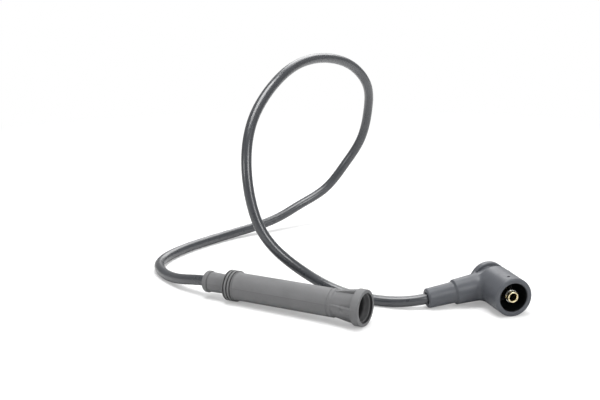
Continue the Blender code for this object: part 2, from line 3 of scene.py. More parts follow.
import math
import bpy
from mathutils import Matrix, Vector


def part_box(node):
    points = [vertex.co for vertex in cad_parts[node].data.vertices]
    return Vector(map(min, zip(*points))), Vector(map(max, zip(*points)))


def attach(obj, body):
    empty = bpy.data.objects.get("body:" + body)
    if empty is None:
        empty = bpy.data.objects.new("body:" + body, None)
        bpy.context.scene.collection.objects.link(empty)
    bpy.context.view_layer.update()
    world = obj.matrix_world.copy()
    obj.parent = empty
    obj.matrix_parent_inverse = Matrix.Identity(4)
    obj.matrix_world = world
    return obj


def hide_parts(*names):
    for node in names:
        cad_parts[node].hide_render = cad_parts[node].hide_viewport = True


bl_info = {
    "name": "Spark Plug Wire",
    "version": (1, 0, 0),
    "blender": (4, 5, 0),
    "location": "View3D > Sidebar > Spark Plug Wire",
    "description": "Models and finishes the boots, cable and terminals of an ignition lead",
    "category": "Object",
}

import bmesh
import bpy
import numpy as np
from bpy.props import FloatProperty, FloatVectorProperty, PointerProperty
from mathutils import Matrix, Vector

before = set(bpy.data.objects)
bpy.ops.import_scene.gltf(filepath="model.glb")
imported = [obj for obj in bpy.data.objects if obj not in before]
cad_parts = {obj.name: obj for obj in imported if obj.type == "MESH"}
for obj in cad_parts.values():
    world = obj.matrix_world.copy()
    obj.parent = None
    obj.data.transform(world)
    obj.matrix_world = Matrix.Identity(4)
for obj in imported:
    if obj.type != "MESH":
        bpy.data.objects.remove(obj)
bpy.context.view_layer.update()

MM = 0.001
BODY = "root"
CLEARANCE = 0.3 * MM

# The straight boot's length and what it rests on, and how deep the cable goes into both boots
BOOT_LENGTH = 118.0 * MM
FLANGE_FROM_BACK = 18.2 * MM
COLLAR_LENGTH = 5.6 * MM
CABLE_IN_PLUG_BOOT = 28.0 * MM
CABLE_END_IN_LEAD = 13.3 * MM

# Place of the right-angle boot's crossing axes from the back end of the straight boot
ELBOW_X = 167.5 * MM
ELBOW_Y = 83.9 * MM
ELBOW_TURN = math.radians(-43.5)

# Cable route from the back end of the straight boot to the lead of the right-angle boot, in metres
ROUTE = (
    (-0.0170, 0.0020, 0.0075),
    (-0.0380, 0.0100, 0.0040),
    (-0.0600, 0.0265, 0.0036),
    (-0.0700, 0.0580, 0.0036),
    (-0.0680, 0.0930, 0.0036),
    (-0.0600, 0.1270, 0.0045),
    (-0.0430, 0.1630, 0.0110),
    (-0.0350, 0.1810, 0.0180),
    (-0.0220, 0.2000, 0.0295),
    (-0.0110, 0.2120, 0.0480),
    (0.0010, 0.2160, 0.0690),
    (0.0095, 0.2120, 0.0950),
    (0.0160, 0.1970, 0.1170),
    (0.0155, 0.1780, 0.1320),
    (0.0136, 0.1495, 0.1420),
    (0.0125, 0.1260, 0.1450),
    (0.0117, 0.0950, 0.1430),
    (0.0112, 0.0650, 0.1320),
    (0.0105, 0.0440, 0.1155),
    (0.0140, 0.0284, 0.0950),
    (0.0184, 0.0220, 0.0760),
    (0.0230, 0.0200, 0.0600),
    (0.0304, 0.0205, 0.0430),
    (0.0410, 0.0250, 0.0287),
    (0.0512, 0.0295, 0.0198),
    (0.0675, 0.0345, 0.0100),
    (0.0840, 0.0372, 0.0048),
    (0.1000, 0.0380, 0.0036),
    (0.1150, 0.0400, 0.0038),
    (0.1262, 0.0437, 0.0048),
)
ROUTE_SPACING = 2.0 * MM
CABLE_LIFT = 0.05 * MM

# Fineness of the forms
BOOT_SIDES = 192
METAL_SIDES = 96
CABLE_ROUNDNESS = 10
WIRE_ROUNDNESS = 6
CORNER_STEPS = 6
SPLINE_STEPS = 24
BLEND_HALVINGS = 18
LONGEST_STEP = 0.7 * MM
SHARP_ANGLE = math.radians(32)

# The mesh attribute for painted shade, how dark a point is painted where light hardly reaches, and what is
# left of the rubber's colour where it is 1
PAINTED_SHADE = "inside"
DARKEST = 0.07

# The photograph's camera, 600 by 400 pixels, in the row frame
CAMERA_PLACE = (0.3158, -0.6274, 0.2430)
CAMERA_PITCH = math.radians(76)
CAMERA_TURN = math.radians(30.46)
CAMERA_LENS = 67.8

# The floor's own white, seen by the camera only: its share near the middle and far off, and where each holds
FLOOR_REACH = 6
FLOOR_SHARE = (0.3, 1.0)
FLOOR_WHITE_FROM = (0.22, 0.75)

# What the floor and the world give as light, which the camera doesn't see
FLOOR_BOUNCE = (0.7, 0.7, 0.7)
WORLD_LIGHT = 0.42

# Name, place, target, size in metres and power in watts
LAMPS = (
    ("top_light", (-0.10, -0.02, 1.00), (0.0, 0.03, 0.05), 0.6, 9),
    ("left_light", (-0.60, -1.00, 0.45), (0.0, 0.03, 0.06), 0.3, 2),
    ("right_light", (0.85, -0.25, 0.55), (0.0, -0.02, 0.02), 0.4, 4),
    ("back_light", (-0.40, 1.05, 0.90), (0.0, 0.05, 0.07), 0.9, 8),
)


class WireSizes(bpy.types.PropertyGroup):
    """Sizes of the lead that a user would change."""

    cable: FloatProperty(
        name="Cable diameter", description="Outside diameter of the sheath", default=0.0070, unit="LENGTH"
    )
    bead: FloatProperty(
        name="Bead", description="Diameter of the rolled bead round the cable", default=0.0145, unit="LENGTH"
    )
    flange: FloatProperty(
        name="Flange", description="Diameter of the ringed grip flange", default=0.0203, unit="LENGTH"
    )
    body: FloatProperty(
        name="Body", description="Diameter of the straight boot's body", default=0.0182, unit="LENGTH"
    )
    collar: FloatProperty(
        name="Collar", description="Diameter of the collar round the mouth", default=0.0234, unit="LENGTH"
    )
    mouth: FloatProperty(
        name="Mouth bore", description="Diameter of the mouth's bore", default=0.0176, unit="LENGTH"
    )
    barrel: FloatProperty(
        name="Barrel", description="Diameter of the right-angle boot's barrel", default=0.0250, unit="LENGTH"
    )
    tower: FloatProperty(
        name="Tower bore", description="Diameter of the space for the tower", default=0.0186, unit="LENGTH"
    )
    lead_reach: FloatProperty(
        name="Lead reach", description="Barrel's axis to the end of the lead", default=0.0465, unit="LENGTH"
    )
    socket: FloatProperty(
        name="Socket", description="Outside diameter of the brass socket", default=0.0072, unit="LENGTH"
    )


class WireColours(bpy.types.PropertyGroup):
    """Colours of the lead's materials and of the stage."""

    plug_boot: FloatVectorProperty(
        name="Straight boot", description="Mid grey moulded rubber", subtype="COLOR", size=3,
        default=(0.150, 0.151, 0.154),
    )
    distributor_boot: FloatVectorProperty(
        name="Right-angle boot", description="Dark slate moulded rubber", subtype="COLOR", size=3,
        default=(0.081, 0.086, 0.097),
    )
    sheath: FloatVectorProperty(
        name="Sheath", description="Glossy dark slate silicone", subtype="COLOR", size=3,
        default=(0.034, 0.037, 0.043),
    )
    brass: FloatVectorProperty(
        name="Brass", description="Rolled brass of the socket", subtype="COLOR", size=3,
        default=(0.86, 0.75, 0.48),
    )
    steel: FloatVectorProperty(
        name="Steel", description="Spring wire and tinned steel", subtype="COLOR", size=3,
        default=(0.6, 0.6, 0.59),
    )
    floor: FloatVectorProperty(
        name="Floor", description="Plain pale floor", subtype="COLOR", size=3,
        default=(0.96, 0.96, 0.96),
    )


def sizes():
    return bpy.context.scene.wire_sizes


def colours():
    return bpy.context.scene.wire_colours


# Places of the two boots


def lean():
    """Pitch of the straight boot, which rests on its collar and on its ringed flange."""
    rise = (sizes().collar - sizes().flange) / 2
    return math.atan2(rise, BOOT_LENGTH - COLLAR_LENGTH - FLANGE_FROM_BACK)


def port():
    """Centre of the straight boot's back end, in the row frame."""
    low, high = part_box("plug_boot")
    height = sizes().flange / 2 * math.cos(lean()) - FLANGE_FROM_BACK * math.sin(lean())
    return Vector(((low[0] + high[0] - BOOT_LENGTH * math.cos(lean())) / 2, (low[1] + high[1]) / 2, height))


def plug_place():
    """Local Z runs along the straight boot to its mouth, and local -X is up."""
    return Matrix.Translation(port()) @ Matrix.Rotation(math.pi / 2 - lean(), 4, "Y")


def elbow_axes():
    """Directions of the lead, of its side and of the barrel's mouth."""
    height, end = sizes().barrel / 2, LEAD_END / 2
    droop = math.asin(height / math.hypot(sizes().lead_reach, end)) - math.atan2(end, sizes().lead_reach)
    barrel = Vector((math.cos(ELBOW_TURN), math.sin(ELBOW_TURN), 0))
    level = Vector((math.sin(ELBOW_TURN), -math.cos(ELBOW_TURN), 0))
    lead = level * math.cos(droop) - Vector((0, 0, math.sin(droop)))
    return lead, barrel.cross(lead), barrel


def elbow_place():
    """Local Z runs along the barrel to its rim and local X along the lead to its end."""
    start = port()
    turn = Matrix(elbow_axes()).transposed().to_4x4()
    return Matrix.Translation((start.x + ELBOW_X, start.y + ELBOW_Y, sizes().barrel / 2)) @ turn


# Making of turned and drawn forms, and of their relief


def rounded(corners, first_inside):
    """Outline points from corners in millimetres: (radius, place along the axis, rounding).

    A point holds its radius and its place in metres, and 1 where it belongs to the inside.
    """
    points = []
    for index, (radius, along, size) in enumerate(corners):
        here = Vector((radius, along))
        inside = float(first_inside is not None and index >= first_inside)
        if not size:
            points.append(Vector((*(here * MM), inside)))
            continue
        before = (Vector(corners[index - 1][:2]) - here).normalized()
        after = (Vector(corners[(index + 1) % len(corners)][:2]) - here).normalized()
        half = before.angle(after) / 2
        centre = here + (before + after).normalized() * size / math.sin(half)
        first = here + before * size / math.tan(half) - centre
        last = here + after * size / math.tan(half) - centre
        for step in range(CORNER_STEPS + 1):
            corner = centre + first.lerp(last, step / CORNER_STEPS).normalized() * size
            points.append(Vector((*(corner * MM), inside)))
    return points


def filled_in(points, closed):
    """The outline with its long straight stretches divided, so that relief can be pressed into it."""
    result = []
    ends = points[1:] + points[:1] if closed else points[1:]
    for here, there in zip(points, ends):
        parts = max(1, math.ceil((there - here).xy.length / LONGEST_STEP))
        result += [here.lerp(there, part / parts) for part in range(parts)]
    return result if closed else result + [points[-1]]


def lathe(name, corners, sides, relief=None, opening=0.0, first_inside=None):
    """A mesh turned about local Z from corners that run down the outside and back up the bore.

    relief(radius, turn, along) gives the new radius of an outside point. The outside ends before the corner
    first_inside, or takes in every corner where that is None. An opening leaves a slot of that angle.
    """
    outline = rounded(corners, first_inside)
    closed = outline[0].x > 0
    outline = filled_in(outline, closed)
    form = bmesh.new()
    rings = []
    columns = sides + 1 if opening else sides
    for point in outline:
        if point.x < 1e-9:
            rings.append([form.verts.new((0, 0, point.y))] * columns)
            continue
        ring = []
        for column in range(columns):
            turn = opening / 2 + (2 * math.pi - opening) * column / sides
            radius = relief(point.x, turn, point.y) if relief and not point.z else point.x
            ring.append(form.verts.new((radius * math.cos(turn), radius * math.sin(turn), point.y)))
        rings.append(ring)
    pairs = list(zip(rings, rings[1:] + rings[:1] if closed else rings[1:]))
    for above, below in pairs:
        for column in range(sides):
            after = (column + 1) % columns
            corners4 = [above[column], below[column], below[after], above[after]]
            form.faces.new(list(dict.fromkeys(corners4)))
    if opening:
        form.faces.new([ring[0] for ring in rings][::-1])
        form.faces.new([ring[-1] for ring in rings])
    bmesh.ops.recalc_face_normals(form, faces=form.faces)
    mesh = bpy.data.meshes.new(name)
    form.to_mesh(mesh)
    form.free()
    return bpy.data.objects.new(name, mesh)


def ramp(value, width):
    """0 where the value is below 0 and 1 where it is above the width, smooth between."""
    share = min(1, max(0, value / width))
    return share * share * (3 - 2 * share)


def around(turn, centre, radius):
    """Distance along the round surface from a line at the angle centre."""
    return abs(math.remainder(turn - centre, 2 * math.pi)) * radius


def ridge(away, width, height):
    """Height of a moulded line at a distance from its middle, down to 0 at its width."""
    return height * (0.5 + 0.5 * math.cos(math.pi * away / width)) if away < width else 0.0


def link(obj):
    """Puts an object in the scene."""
    bpy.context.scene.collection.objects.link(obj)
    return obj


def settle(obj, place):
    """Bakes a piece's place into its mesh and shades it smooth apart from sharp edges."""
    obj.data.transform(place)
    obj.data.shade_smooth()
    obj.data.set_sharp_from_angle(angle=SHARP_ANGLE)


def boolean(obj, tool, operation):
    """Applies one boolean and removes the tool."""
    link(tool)
    change = obj.modifiers.new(operation, "BOOLEAN")
    change.object = tool
    change.operation = operation
    change.solver = "EXACT"
    bpy.context.view_layer.update()
    graph = bpy.context.evaluated_depsgraph_get()
    mesh = bpy.data.meshes.new_from_object(obj.evaluated_get(graph))
    obj.modifiers.clear()
    obj.data = mesh
    bpy.data.objects.remove(tool)


def paint_shade(obj, shade_at):
    """Paints shade into a boot: marks how dark each point is painted, from a function of the point's x, y and
    z in its own place.
    """
    marks = obj.data.attributes.new(PAINTED_SHADE, "FLOAT", "POINT")
    marks.data.foreach_set("value", [shade_at(*point.co) for point in obj.data.vertices])


def show(obj, material, slot, *nodes):
    """Gives a piece its one material and lets it stand for its nodes."""
    obj.data.materials.clear()
    obj.data.materials.append(material)
    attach(obj, BODY)
    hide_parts(*nodes)


def wire(name, points, diameter, roundness):
    """A round wire with flat ends along a run of points."""
    curve = bpy.data.curves.new(name, "CURVE")
    curve.dimensions = "3D"
    curve.bevel_depth = diameter / 2
    curve.bevel_resolution = roundness
    curve.use_fill_caps = True
    spline = curve.splines.new("POLY")
    spline.points.add(len(points) - 1)
    for target, point in zip(spline.points, points):
        target.co = (*point, 1)
    spline.use_smooth = True
    return link(bpy.data.objects.new(name, curve))


def smooth_curve(points, start_way, end_way, spacing):
    """Even points on the cubic spline through the given points, with the given ways at its ends."""
    points = np.array(points)
    gaps = np.linalg.norm(np.diff(points, axis=0), axis=1)
    count = len(points)
    rows = np.eye(count)
    right = np.zeros((count, 3))
    right[0] = start_way
    right[-1] = end_way
    for i in range(1, count - 1):
        before, after = gaps[i - 1], gaps[i]
        rows[i, i - 1 : i + 2] = after, 2 * (before + after), before
        ahead = (points[i + 1] - points[i]) / after
        behind = (points[i] - points[i - 1]) / before
        right[i] = 3 * (before * ahead + after * behind)
    ways = np.linalg.solve(rows, right)
    dense = []
    for i in range(count - 1):
        for share in np.linspace(0, 1, SPLINE_STEPS, endpoint=i == count - 2):
            square, cube = share**2, share**3
            dense.append(
                (2 * cube - 3 * square + 1) * points[i]
                + (cube - 2 * square + share) * gaps[i] * ways[i]
                + (3 * square - 2 * cube) * points[i + 1]
                + (cube - square) * gaps[i] * ways[i + 1]
            )
    dense = np.array(dense)
    along = np.concatenate([[0], np.cumsum(np.linalg.norm(np.diff(dense, axis=0), axis=1))])
    stops = np.linspace(0, along[-1], 1 + round(along[-1] / spacing))
    return np.stack([np.interp(stops, along, dense[:, axis]) for axis in range(3)], axis=1)


# Materials


def new_material(name):
    material = bpy.data.materials.new(name)
    material.use_nodes = True
    return material, material.node_tree, material.node_tree.nodes["Principled BSDF"]


def add(tree, kind, place, **settings):
    """A new shader node at a place in the editor."""
    node = tree.nodes.new(kind)
    node.location = place
    for key, value in settings.items():
        setattr(node, key, value)
    return node


def noise(tree, place, scale, detail):
    """Noise in the object's own metres, so a scale of 1000 makes features of a millimetre."""
    where = add(tree, "ShaderNodeTexCoord", (place[0] - 200, place[1]))
    node = add(tree, "ShaderNodeTexNoise", place)
    node.inputs["Scale"].default_value = scale
    node.inputs["Detail"].default_value = detail
    node.inputs["Roughness"].default_value = 0.55
    tree.links.new(where.outputs["Object"], node.inputs["Vector"])
    return node.outputs["Fac"]


def spread(tree, place, value, low, high, out_low, out_high):
    """The value mapped from one range to another, held at its ends."""
    node = add(tree, "ShaderNodeMapRange", place)
    for key, number in (("From Min", low), ("From Max", high), ("To Min", out_low), ("To Max", out_high)):
        node.inputs[key].default_value = number
    tree.links.new(value, node.inputs["Value"])
    return node.outputs["Result"]


def mixed(tree, place, factor, first, second):
    """A colour between two, each a socket or three numbers."""
    node = add(tree, "ShaderNodeMix", place, data_type="RGBA")
    tree.links.new(factor, node.inputs["Factor"])
    for key, value in (("A", first), ("B", second)):
        socket = next(item for item in node.inputs if item.name == key and item.type == "RGBA")
        if isinstance(value, bpy.types.NodeSocket):
            tree.links.new(value, socket)
        else:
            socket.default_value = (*value, 1)
    return next(item for item in node.outputs if item.type == "RGBA")


def bump(tree, place, height, strength, distance, under=None):
    """A bumped normal, over another one where that is given."""
    node = add(tree, "ShaderNodeBump", place)
    node.inputs["Strength"].default_value = strength
    node.inputs["Distance"].default_value = distance
    tree.links.new(height, node.inputs["Height"])
    if under is not None:
        tree.links.new(under, node.inputs["Normal"])
    return node.outputs["Normal"]


def moulded_rubber(name, colour, rough):
    """Satin moulded rubber: clouded colour, paler worn edges, painted shade in creases and where the boot's
    shade attribute marks it, and a fine grain.
    """
    material, tree, shader = new_material(name)
    colour = np.array(colour)
    cloud = spread(tree, (-900, 400), noise(tree, (-1100, 400), 90, 5), 0.3, 0.7, 0, 1)
    base = mixed(tree, (-700, 400), cloud, colour * 0.93, colour * 1.07)
    edge = add(tree, "ShaderNodeNewGeometry", (-1100, 150)).outputs["Pointiness"]
    worn = spread(tree, (-900, 150), edge, 0.51, 0.57, 0, 0.3)
    base = mixed(tree, (-500, 400), worn, base, colour * 1.45)
    # Painted shade: creases, found by their low pointiness, darken towards a quarter of the colour
    crease_shade = spread(tree, (-700, 150), edge, 0.485, 0.42, 0, 0.75)
    base = mixed(tree, (-350, 300), crease_shade, base, colour * 0.25)
    # Painted shade: points marked by the boot's shade attribute darken towards the darkest colour
    dark = add(tree, "ShaderNodeAttribute", (-500, 100), attribute_name=PAINTED_SHADE).outputs["Fac"]
    base = mixed(tree, (-200, 300), dark, base, colour * DARKEST)
    tree.links.new(base, shader.inputs["Base Color"])
    smear = noise(tree, (-1100, -200), 160, 6)
    gloss = spread(tree, (-500, -200), smear, 0.35, 0.65, rough - 0.05, rough + 0.06)
    tree.links.new(gloss, shader.inputs["Roughness"])
    grain = bump(tree, (-500, -420), noise(tree, (-1100, -420), 2600, 3), 0.08, 0.00005)
    wave = bump(tree, (-300, -420), noise(tree, (-1100, -640), 200, 2), 0.08, 0.0001, grain)
    tree.links.new(wave, shader.inputs["Normal"])
    shader.inputs["Specular IOR Level"].default_value = 0.4
    return material


def glossy_sheath(name, colour):
    """Extruded silicone sheath: glossy, with clouded colour, smeared gloss and a slight unevenness."""
    material, tree, shader = new_material(name)
    colour = np.array(colour)
    cloud = spread(tree, (-700, 300), noise(tree, (-900, 300), 70, 4), 0.3, 0.7, 0, 1)
    tree.links.new(mixed(tree, (-500, 300), cloud, colour * 0.88, colour * 1.1), shader.inputs["Base Color"])
    smear = noise(tree, (-900, 0), 130, 5)
    tree.links.new(spread(tree, (-500, 0), smear, 0.35, 0.65, 0.26, 0.34), shader.inputs["Roughness"])
    skin = bump(tree, (-500, -300), noise(tree, (-900, -300), 900, 3), 0.03, 0.00005)
    wave = bump(tree, (-300, -300), noise(tree, (-900, -520), 120, 2), 0.1, 0.0001, skin)
    tree.links.new(wave, shader.inputs["Normal"])
    shader.inputs["Specular IOR Level"].default_value = 0.7
    shader.inputs["Coat Weight"].default_value = 0.4
    shader.inputs["Coat Roughness"].default_value = 0.22
    return material


def worked_metal(name, colour, rough):
    """Rolled or drawn metal: slight tarnish and fine scratches."""
    material, tree, shader = new_material(name)
    colour = np.array(colour)
    tarnish = spread(tree, (-700, 300), noise(tree, (-900, 300), 500, 6), 0.35, 0.75, 0, 1)
    tree.links.new(mixed(tree, (-500, 300), tarnish, colour, colour * 0.72), shader.inputs["Base Color"])
    rubbed = noise(tree, (-900, 0), 1500, 4)
    gloss = spread(tree, (-500, 0), rubbed, 0.3, 0.7, rough - 0.06, rough + 0.1)
    tree.links.new(gloss, shader.inputs["Roughness"])
    scratches = bump(tree, (-500, -300), noise(tree, (-900, -300), 4000, 2), 0.15, 0.00003)
    tree.links.new(scratches, shader.inputs["Normal"])
    shader.inputs["Metallic"].default_value = 1
    return material


# The straight boot, in millimetres as its corners are

PLUG_STEP_FROM_MOUTH = 23.0
PLUG_STEP_DEPTH = 0.4
PLUG_WAIST_FROM_MOUTH = 19.5
PLUG_WAIST_RADIUS = 8.2
PLUG_CONE_RADIUS = 9.2
BEAD_LENGTH = 3.3
BEAD_GROOVE_RADIUS = 5.95
NECK_START = 4.3
NECK_RADIUS = 6.65
NECK_END_RADIUS = 6.2
FLANGE_END = 25.2
FLANGE_GROOVES = (24.1, 21.7, 19.3)
FLANGE_GROOVE_DEPTH = 0.9
GROOVE_REACH = 0.7
TERMINAL_SPACE = (16.0, 28.3)
TERMINAL_SPACE_RADIUS = 4.6
MOUTH_STEP = 0.5
MOUTH_STEP_DEPTH = 1.6

# Its relief and its painted shade, in metres
GUSSET_START = BOOT_LENGTH - (PLUG_STEP_FROM_MOUTH - 2.4) * MM
GUSSET_END = BOOT_LENGTH - 5.5 * MM
GUSSET_SUNK = 0.45 * MM
GUSSET_BELOW_COLLAR = 0.3 * MM
GUSSET_WIDTH = 3.4 * MM
GUSSET_EDGE = 0.3 * MM
GUSSET_TURNS = (0, math.pi / 2, math.pi, 3 * math.pi / 2)
POCKET_TURNS = (math.pi / 2, 3 * math.pi / 2)
POCKET_FROM_MOUTH = 11.6 * MM
POCKET_SIZE = (2.6 * MM, 1.5 * MM)
POCKET_DEPTH = 0.45 * MM
SMOOTH_FROM_MOUTH = 1.2 * MM
PARTING_TURNS = (math.radians(-97), math.radians(-97) + math.pi)
PARTING_WIDTH = 0.35 * MM
PARTING_HEIGHT = 0.13 * MM
# Painted shade: how far the colour darkens in a painted shadow along the parting line, in the flange's
# grooves and in the mouth's step, and where the funnel goes from lit to painted black
PARTING_SHADE = 0.3
GROOVE_SHADE = 0.8
MOUTH_STEP_SHADE = 0.9
FUNNEL_LIT = 4.6 * MM
FUNNEL_BLACK = 6.8 * MM
FUNNEL_FROM_MOUTH = 4.8 * MM
FUNNEL_END_FROM_MOUTH = 20.0 * MM
PLUG_BORE_RADIUS = 5.2 * MM


def plug_boot_corners():
    """Corners down the outside from the mouth to the cable's way in, and those back up the bores."""
    s = sizes()
    length = BOOT_LENGTH / MM
    collar, body, flange = s.collar / MM / 2, s.body / MM / 2, s.flange / MM / 2
    mouth, bead, cable = s.mouth / MM / 2, s.bead / MM / 2, (s.cable / 2 + CLEARANCE) / MM
    bore, step = PLUG_BORE_RADIUS / MM, length - PLUG_STEP_FROM_MOUTH
    collar_start, flange_start = length - COLLAR_LENGTH / MM, FLANGE_FROM_BACK / MM
    inner, outer = TERMINAL_SPACE
    outside = [
        (collar - 0.1, length, 0.7),
        (collar, collar_start + 0.3, 0.5),
        (PLUG_CONE_RADIUS, collar_start - 0.3, 0.8),
        (PLUG_WAIST_RADIUS, length - PLUG_WAIST_FROM_MOUTH, 0.8),
        (body, step + 2.2, 0.5),
        (body, step + 0.35, 0.15),
        (body - PLUG_STEP_DEPTH, step, 0.1),
        (body, step - 0.35, 0.15),
        (body, FLANGE_END + 2.8, 1.2),
        (body + 0.4, FLANGE_END, 0.3),
        (flange, FLANGE_END, 0.35),
    ]
    for centre in FLANGE_GROOVES:
        outside += [
            (flange, centre + 0.55, 0.15),
            (flange - FLANGE_GROOVE_DEPTH, centre + 0.35, 0.15),
            (flange - FLANGE_GROOVE_DEPTH, centre - 0.35, 0.15),
            (flange, centre - 0.55, 0.15),
        ]
    outside += [
        (flange - 0.1, flange_start + 0.05, 0.2),
        (NECK_END_RADIUS, flange_start, 0.7),
        (NECK_RADIUS, NECK_START, 0.2),
        (BEAD_GROOVE_RADIUS, NECK_START - 0.4, 0.15),
        (bead, BEAD_LENGTH, 0.8),
        (bead, 0, 1.4),
    ]
    inside = [
        (cable, 0, 0.8),
        (cable, inner, 0),
        (TERMINAL_SPACE_RADIUS, inner, 0),
        (TERMINAL_SPACE_RADIUS, outer, 0),
        (bore, outer + 1.2, 0),
        (bore, length - FUNNEL_END_FROM_MOUTH / MM, 5.0),
        (mouth, length - FUNNEL_FROM_MOUTH / MM, 0.8),
        (mouth, length - MOUTH_STEP_DEPTH - 0.3, 0.1),
        (mouth + MOUTH_STEP, length - MOUTH_STEP_DEPTH, 0.15),
        (mouth + MOUTH_STEP + 0.1, length, 0.2),
    ]
    return outside, inside


def gusset(radius, turn, along):
    """Four gussets from the step to the collar, two of them with a shallow pocket."""
    collar, body = sizes().collar / 2, sizes().body / 2
    if not GUSSET_START < along < GUSSET_END or radius > collar - GUSSET_BELOW_COLLAR:
        return radius
    share = (along - GUSSET_START) / (GUSSET_END - GUSSET_START)
    top = body - GUSSET_SUNK + share * (collar - body)
    for centre in GUSSET_TURNS:
        rise = 1 - ramp(around(turn, centre, radius) - GUSSET_WIDTH / 2, GUSSET_EDGE)
        if centre in POCKET_TURNS:
            past_end = abs(along - BOOT_LENGTH + POCKET_FROM_MOUTH) - POCKET_SIZE[0] / 2
            past_side = around(turn, centre, radius) - POCKET_SIZE[1] / 2
            top -= POCKET_DEPTH * (1 - ramp(max(past_end, past_side), GUSSET_EDGE))
        radius = max(radius, radius + (top - radius) * rise)
    return radius


def plug_boot_relief(radius, turn, along):
    """Gussets between the waist and the collar, and a faint parting line along both sides."""
    if along > BOOT_LENGTH - SMOOTH_FROM_MOUTH:
        return radius
    radius = gusset(radius, turn, along)
    for centre in PARTING_TURNS:
        radius += ridge(around(turn, centre, radius), PARTING_WIDTH, PARTING_HEIGHT)
    return radius


def plug_boot_painted_shade(x, y, z):
    """Painted shade: dark in the mouth's step and the flange's grooves, a painted shadow along the parting
    line, and black deep in the funnel.
    """
    radius, from_mouth = math.hypot(x, y), BOOT_LENGTH - z
    share = (FUNNEL_END_FROM_MOUTH - from_mouth) / (FUNNEL_END_FROM_MOUTH - FUNNEL_FROM_MOUTH)
    bore = PLUG_BORE_RADIUS + (sizes().mouth / 2 - PLUG_BORE_RADIUS) * min(1, max(0, share))
    if radius < bore + 0.2 * MM:
        return ramp(from_mouth - FUNNEL_LIT, FUNNEL_BLACK - FUNNEL_LIT) * (z > 0.5 * MM)
    step_end, step_radius = (MOUTH_STEP_DEPTH + 0.2) * MM, bore + (MOUTH_STEP + 0.2) * MM
    in_step = 0.1 * MM < from_mouth < step_end and radius < step_radius
    first, last = (FLANGE_GROOVES[-1] - GROOVE_REACH) * MM, (FLANGE_GROOVES[0] + GROOVE_REACH) * MM
    in_groove = first < z < last and radius < sizes().flange / 2 - 0.5 * MM
    beside = min(around(math.atan2(y, x), turn, radius) for turn in PARTING_TURNS)
    on_line = beside < PARTING_WIDTH / 2 and FLANGE_END * MM < z < BOOT_LENGTH - PLUG_STEP_FROM_MOUTH * MM
    return MOUTH_STEP_SHADE * in_step + GROOVE_SHADE * in_groove + PARTING_SHADE * on_line


class WIRE_OT_plug_boot(bpy.types.Operator):
    """Moulds the long straight boot with its ringed flange, gussets, collar and stepped bores"""

    bl_idname = "wire.plug_boot"
    bl_label = "Straight Boot"

    def execute(self, context):
        outside, inside = plug_boot_corners()
        corners = outside + inside
        boot = lathe("straight_boot", corners, BOOT_SIDES, plug_boot_relief, first_inside=len(outside))
        link(boot)
        paint_shade(boot, plug_boot_painted_shade)
        settle(boot, plug_place())
        rubber = moulded_rubber("plug_boot_rubber", colours().plug_boot, 0.5)
        show(boot, rubber, "plug_boot_rubber", "plug_boot")
        return {"FINISHED"}


# The right-angle boot, in millimetres as its corners are, with places along the barrel from the lead's axis

RIM = 31.0
SKIRT = RIM - 28.7
PAD = RIM - 35.4
PAD_THICKNESS = 4.7
WAIST_RADIUS = 10.25
EDGE_WIDTH = 0.6
TOWER_SPACE_DEPTH = 21
LEAD_STEP = 27.0
LEAD_STEP_RADIUS = 8.15
LEAD_ROOT_RADIUS = 8.8
TAIL_SHOULDER = -8.6
TAIL_END = -13.0
TAIL_END_RADIUS = 5.6
CRIMP_SPACE_RADIUS = 4.8
CRIMP_SPACE = (-4.2, 25.6)
PAST_RIM = 2
GATE_RADIUS = 1.1
GATE_DEPTH = 0.5
GATE_FROM_RIM = 5.6

# Its relief and its painted shade, in metres
LEAD_END = 12.7 * MM
FILLET_BEHIND = 8.9 * MM
FILLET = 3.0 * MM
SEAM_WIDTH = 0.3 * MM
SEAM_HEIGHT = 0.08 * MM
# Painted shade: the bores go black this far below their rims, over this width
BLACK_FROM_RIM = 0.2 * MM
BLACK_WITHIN = 1.0 * MM


def barrel_corners():
    """Outside of the skirt, the waist and the pad, from the rim down."""
    radius = sizes().barrel / MM / 2
    return [
        (0, RIM, 0),
        (radius, RIM, 1.3),
        (radius, SKIRT, 0.7),
        (WAIST_RADIUS, SKIRT - 0.3, 0.5),
        (WAIST_RADIUS, PAD + 0.2, 0.5),
        (radius, PAD, 0.8),
        (radius, PAD - PAD_THICKNESS, 0.9),
        (0, PAD - PAD_THICKNESS, 0),
    ]


def lead_corners():
    """Outside of the stepped lead and of the closed tail beyond the barrel."""
    reach = sizes().lead_reach / MM
    return [
        (0, reach, 0),
        (LEAD_END / MM / 2, reach, 1.3),
        (6.9, LEAD_STEP + 1.25, 0.5),
        (LEAD_STEP_RADIUS, LEAD_STEP, 0.6),
        (8.9, 12.5, 3.0),
        (LEAD_ROOT_RADIUS, 0, 0),
        (LEAD_ROOT_RADIUS, TAIL_SHOULDER, 1.0),
        (TAIL_END_RADIUS, TAIL_END + 0.2, 0.8),
        (0, TAIL_END, 0),
    ]


def barrel_radius(place):
    """Radius of the skirt, the waist or the pad at a place along the barrel, in metres."""
    past_skirt, past_pad = place / MM - SKIRT + EDGE_WIDTH / 2, PAD + EDGE_WIDTH / 2 - place / MM
    share = max(ramp(past_skirt, EDGE_WIDTH), ramp(past_pad, EDGE_WIDTH))
    return WAIST_RADIUS * MM * (1 - share) + sizes().barrel / 2 * share


